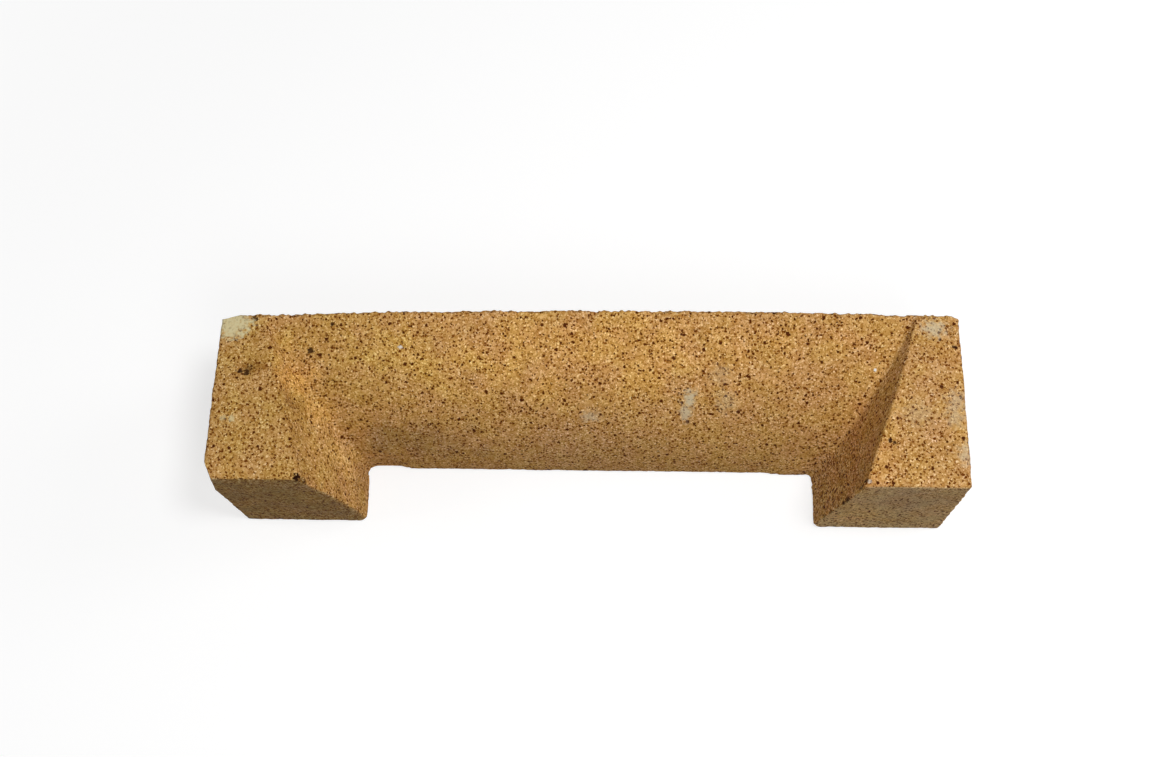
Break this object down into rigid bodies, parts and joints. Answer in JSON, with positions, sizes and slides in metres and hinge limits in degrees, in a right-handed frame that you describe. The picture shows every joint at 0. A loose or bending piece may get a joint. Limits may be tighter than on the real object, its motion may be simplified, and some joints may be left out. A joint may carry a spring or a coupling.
{
  "type": "fireplace throat lintel",
  "caption": "Fired fireclay lintel with a rounded nose between splayed end legs, which bridges a fireplace opening, carries the masonry above it and leads the smoke up into the throat.",
  "frame": {"origin": "middle of the flat room face, which lies on the floor", "axes": "+X along the lintel, +Y from the feet to the bed, which is up when it is built in, +Z from the room face to the throat side, which is up as it lies"},
  "size_m": [0.76, 0.178, 0.155],
  "materials": {
    "fireclay": "matt buff fireclay, sandy to the touch, with dark iron specks and pale grog grains"
  },
  "bodies": {
    "root": {"throat_lintel": "fireclay"}
  },
  "joints": []
}
